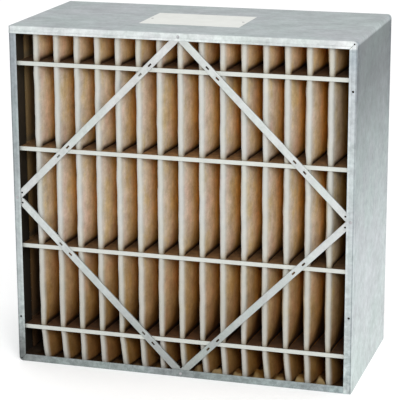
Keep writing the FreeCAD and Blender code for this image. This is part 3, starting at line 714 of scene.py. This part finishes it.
def build_media():
    """The pleated media: one blanket of even thickness, closed at the top and the bottom."""
    levels = bay_levels()
    rings, flat_length = [], 0.0
    for z in levels:
        line = centreline(z)
        flat_length += np.linalg.norm(np.diff(line, axis=0), axis=1).sum() / len(levels)
        entering = offset(line, MEDIA_THICKNESS / 2)
        leaving = offset(line, -MEDIA_THICKNESS / 2)
        ring = np.concatenate([entering, leaving[::-1]])
        ring[:, 0] = np.clip(ring[:, 0], -WALL_X, WALL_X)
        rings.append(np.column_stack([ring, np.full(len(ring), z)]))
    count = len(rings[0])
    faces = []
    for level in range(len(levels) - 1):
        base = level * count
        for i in range(count):
            j = (i + 1) % count
            faces.append((base + i, base + j, base + count + j, base + count + i))
    top = (len(levels) - 1) * count
    for i in range(count // 2 - 1):
        low = (i, count - 1 - i, count - 2 - i, i + 1)
        faces += [low, tuple(top + k for k in reversed(low))]
    media = new_mesh("media_blanket", np.concatenate(rings) * MM, faces, MEDIA_FIBRE)
    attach(media, "root")
    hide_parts("media_pack")


def wire(vertices, faces, path):
    """A closed wire of a few flat sides along a path, added to the lists."""
    steps = np.gradient(path, axis=0)
    steps /= np.linalg.norm(steps, axis=1)[:, None]
    upright = abs(steps[0][2]) >= UPRIGHT_SLOPE
    up = np.array((0.0, 1.0, 0.0)) if upright else np.array((0.0, 0.0, 1.0))
    first = np.cross(steps, up)
    first /= np.linalg.norm(first, axis=1)[:, None]
    second = np.cross(steps, first)
    start = sum(len(block) for block in vertices)
    turns = [2 * math.pi * k / WIRE_SIDES for k in range(WIRE_SIDES)]
    ring = [path + WIRE_RADIUS * (math.cos(a) * first + math.sin(a) * second) for a in turns]
    vertices.append(np.stack(ring, axis=1).reshape(-1, 3))
    for i in range(len(path) - 1):
        for k in range(WIRE_SIDES):
            a = start + i * WIRE_SIDES + k
            b = start + i * WIRE_SIDES + (k + 1) % WIRE_SIDES
            faces.append((a, b, b + WIRE_SIDES, a + WIRE_SIDES))
    last = start + (len(path) - 1) * WIRE_SIDES
    faces.append(tuple(start + k for k in reversed(range(WIRE_SIDES))))
    faces.append(tuple(last + k for k in range(WIRE_SIDES)))


def between_walls(path):
    """The path, kept off the side panels by the wire's radius."""
    path[:, 0] = np.clip(path[:, 0], WIRE_RADIUS - WALL_X, WALL_X - WIRE_RADIUS)
    return path


def build_grid():
    """The welded wire grid that is bonded to the air-leaving side of the media."""
    stand_off = -(MEDIA_THICKNESS / 2 + WIRE_RADIUS * WIRE_PROUD)
    vertices, faces = [], []
    for z in np.arange(MEDIA_BOTTOM + GRID_MARGIN, MEDIA_TOP, WIRE_SPACING):
        line = between_walls(offset(centreline(z), stand_off))
        wire(vertices, faces, np.column_stack([line, np.full(len(line), z)]))
    levels = bay_levels()[::2]
    lines = [offset(centreline(z), stand_off) for z in levels]
    run = np.concatenate([[0], np.cumsum(np.linalg.norm(np.diff(lines[0], axis=0), axis=1))])
    for spot in np.arange(WIRE_SPACING / 2, run[-1], WIRE_SPACING):
        i = int(np.searchsorted(run, spot)) - 1
        share = (spot - run[i]) / (run[i + 1] - run[i])
        path = [
            np.append(line[i] + (line[i + 1] - line[i]) * share, z)
            for line, z in zip(lines, levels)
        ]
        wire(vertices, faces, between_walls(np.array(path)))
    grid = new_mesh("wire_grid", np.concatenate(vertices) * MM, faces, WIRE_METAL)
    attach(grid, "root")


def tuft_heaps(grid_x, grid_y):
    """Fluff that stands up between the front folds, higher on the right side of the filter."""
    heaps = np.zeros_like(grid_x)
    for fold in range(FIRST_TUFT_FOLD, FOLDS, 2):
        centre = (fold - PLEATS) * PITCH / 2 - TUFT_ASIDE
        tall = TUFT_HEIGHT * rng.uniform(*HEAP_SPREAD) * (TUFT_LEFT_SHARE if centre < 0 else 1.0)
        for _ in range(TUFTS_IN_HEAP):
            x = (centre + rng.uniform(*TUFT_X)) * MM
            y = (rng.uniform(*TUFT_DEPTH) - NOSE_Y) * MM
            wide, deep = rng.uniform(*TUFT_WIDTHS) * MM, rng.uniform(*TUFT_LENGTHS) * MM
            reach = ((grid_x - x) / wide) ** 2 + ((grid_y - y) / deep) ** 2
            dome = np.clip(1.0 - reach**2, 0.0, 1.0) ** TUFT_DOME_POWER
            heaps = np.maximum(heaps, tall * MM * rng.uniform(*TUFT_SPREAD) * dome)
    return heaps


def random_lumps(grid_x, grid_y):
    """Gentle lumps from waves in random directions."""
    lumps = np.zeros_like(grid_x)
    for _ in range(LUMP_WAVES):
        angle = rng.uniform(0, math.pi)
        length = rng.uniform(LUMP_SHORTEST * MM, LUMP_LONGEST * MM)
        phase = rng.uniform(0, 2 * math.pi)
        across = grid_x * math.cos(angle) + grid_y * math.sin(angle)
        lumps += np.sin(2 * math.pi * across / length + phase)
    return lumps / lumps.std() * LUMP_HEIGHT * MM


def slab_faces(columns, rows):
    """A closed slab over a grid: each cell's two faces, then the walls round the rim."""
    size = (columns + 1) * (rows + 1)

    def index(i, j):
        return i * (rows + 1) + j

    faces = []
    for i in range(columns):
        for j in range(rows):
            quad = (index(i, j), index(i + 1, j), index(i + 1, j + 1), index(i, j + 1))
            faces += [quad, tuple(size + k for k in reversed(quad))]
    rim = [index(i, 0) for i in range(columns + 1)]
    rim += [index(columns, j) for j in range(1, rows + 1)]
    rim += [index(i, rows) for i in range(columns - 1, -1, -1)]
    rim += [index(0, j) for j in range(rows - 1, 0, -1)]
    faces += [(a, size + a, size + b, b) for a, b in zip(rim, rim[1:] + rim[:1])]
    return faces


def build_pad(name, node, z_flat, z_face, tufted):
    """A fibre pad, its face towards the media lumpy."""
    low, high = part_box(node)
    xs = np.linspace(low.x, high.x, PAD_COLUMNS + 1)
    ys = low.y + (high.y - low.y) * np.linspace(0, 1, PAD_ROWS + 1) ** ROW_POWER
    grid_x, grid_y = np.meshgrid(xs, ys, indexing="ij")
    lumps = random_lumps(grid_x, grid_y)
    edge = np.minimum.reduce([grid_x - low.x, high.x - grid_x, grid_y - low.y, high.y - grid_y])
    ease = np.clip(edge / (RIM_WIDTH * MM), 0, 1)
    inward = 1.0 if z_face > z_flat else -1.0
    face_z = z_face + inward * (lumps * ease - (1 - ease) * RIM_DROP * MM)
    if tufted:
        rough = 1 + lumps / lumps.std() * TUFT_ROUGHNESS
        face_z += tuft_heaps(grid_x, grid_y) * rough * np.clip(edge / (TUFT_RIM * MM), 0, 1)
    corner = CORNER * MM
    turned = low.x + corner - grid_x if inward > 0 else grid_x - (high.x - corner)
    flat_z = z_flat + inward * np.clip(turned / corner, 0, 1) ** 2 * CORNER_LIFT * MM
    sides = [np.stack([grid_x, grid_y, z], axis=-1).reshape(-1, 3) for z in (face_z, flat_z)]
    faces = slab_faces(PAD_COLUMNS, PAD_ROWS)
    if inward < 0:
        faces = [tuple(reversed(face)) for face in faces]
    pad = new_mesh(name, np.concatenate(sides), faces, PAD_FIBRE)
    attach(pad, "root")
    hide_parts(node)


def build_label_rivets():
    """Two small domed rivets that hold the label plate."""
    vertices, faces = [], []
    plate_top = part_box("label_plate")[1].z
    for x in LABEL_RIVETS_X:
        centre = np.array((x * MM, LABEL_RIVETS_Y * MM, plate_top))
        start = len(vertices)
        for ring in range(RIVET_RINGS):
            a = math.pi / 2 * ring / RIVET_RINGS
            flat = LABEL_RIVET_RADIUS * MM * math.cos(a)
            rise = LABEL_RIVET_HEIGHT * MM * math.sin(a)
            for k in range(RIVET_SIDES):
                b = 2 * math.pi * k / RIVET_SIDES
                vertices.append(centre + (flat * math.cos(b), flat * math.sin(b), rise))
        tip = len(vertices)
        vertices.append(centre + (0, 0, LABEL_RIVET_HEIGHT * MM))
        for base in range(start, tip - RIVET_SIDES, RIVET_SIDES):
            for k in range(RIVET_SIDES):
                a, b = base + k, base + (k + 1) % RIVET_SIDES
                faces.append((a, b, b + RIVET_SIDES, a + RIVET_SIDES))
        last = tip - RIVET_SIDES
        for k in range(RIVET_SIDES):
            faces.append((last + k, last + (k + 1) % RIVET_SIDES, tip))
        faces.append(tuple(start + k for k in reversed(range(RIVET_SIDES))))
    rivets = new_mesh("label_rivets", vertices, faces, RIVET_METAL)
    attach(rivets, "root")


build_media()
build_grid()
build_pad("pad_bottom_fibre", "pad_bottom", SHEET * MM, MEDIA_BOTTOM * MM, tufted=True)
build_pad("pad_top_fibre", "pad_top", (BOX_HEIGHT - 2 * SHEET) * MM, MEDIA_TOP * MM, tufted=False)
build_label_rivets()


# Floor, light and camera


def build_floor():
    """A plain pale floor, faintly lit so that it stays as white as the photograph's background."""
    half = FLOOR_HALF * MM
    corners = [(-half, -half, 0), (half, -half, 0), (half, half, 0), (-half, half, 0)]
    g = Graph("floor_paint")
    g.set(Roughness=0.9, Emission_Color=(1.0, 1.0, 1.0, 1.0), Emission_Strength=0.12)
    g.feed("Base Color", g.ramp(g.noise(FLOOR_CLOUDS), grey_stops((0.3, 0.90), (0.7, 0.92))))
    floor = new_mesh("floor", corners, [(0, 1, 2, 3)], g.material, smooth=False)
    floor.location.z = -FLOOR_DROP * MM


def area_light(name, place, aim, size, power):
    data = bpy.data.lights.new(name, "AREA")
    data.shape = "RECTANGLE"
    data.size, data.size_y = size
    data.energy = power
    light = bpy.data.objects.new(name, data)
    bpy.context.scene.collection.objects.link(light)
    light.location = place
    toward = Vector(aim) - Vector(place)
    light.rotation_euler = toward.to_track_quat("-Z", "Y").to_euler()


def build_light():
    """White surroundings, a soft key light and a weak one low at the right."""
    world = bpy.data.worlds.new("studio")
    world.use_nodes = True
    background = world.node_tree.nodes["Background"]
    background.inputs["Color"].default_value = (1.0, 1.0, 1.0, 1.0)
    background.inputs["Strength"].default_value = 1.0
    bpy.context.scene.world = world
    for name, settings in LIGHTS.items():
        area_light(name, *settings)


def build_camera():
    """The camera at the photograph's place and angle."""
    yaw, pitch, roll = (math.radians(a) for a in (CAMERA_YAW, CAMERA_PITCH, CAMERA_ROLL))
    forward = Vector(
        (-math.sin(yaw) * math.cos(pitch), math.cos(yaw) * math.cos(pitch), -math.sin(pitch))
    )
    data = bpy.data.cameras.new("camera")
    data.sensor_width = SENSOR_WIDTH
    data.lens = FOCAL_PIXELS / PICTURE_PIXELS * SENSOR_WIDTH
    data.clip_end = CAMERA_REACH * MM
    camera = bpy.data.objects.new("camera", data)
    bpy.context.scene.collection.objects.link(camera)
    turn = forward.to_track_quat("-Z", "Y").to_matrix().to_4x4()
    place = Matrix.Translation(Vector(CAMERA_PLACE) * MM)
    camera.matrix_world = place @ turn @ Matrix.Rotation(roll, 4, "Z")
    bpy.context.scene.camera = camera


build_floor()
build_light()
build_camera()
bpy.context.scene.view_settings.view_transform = "Standard"
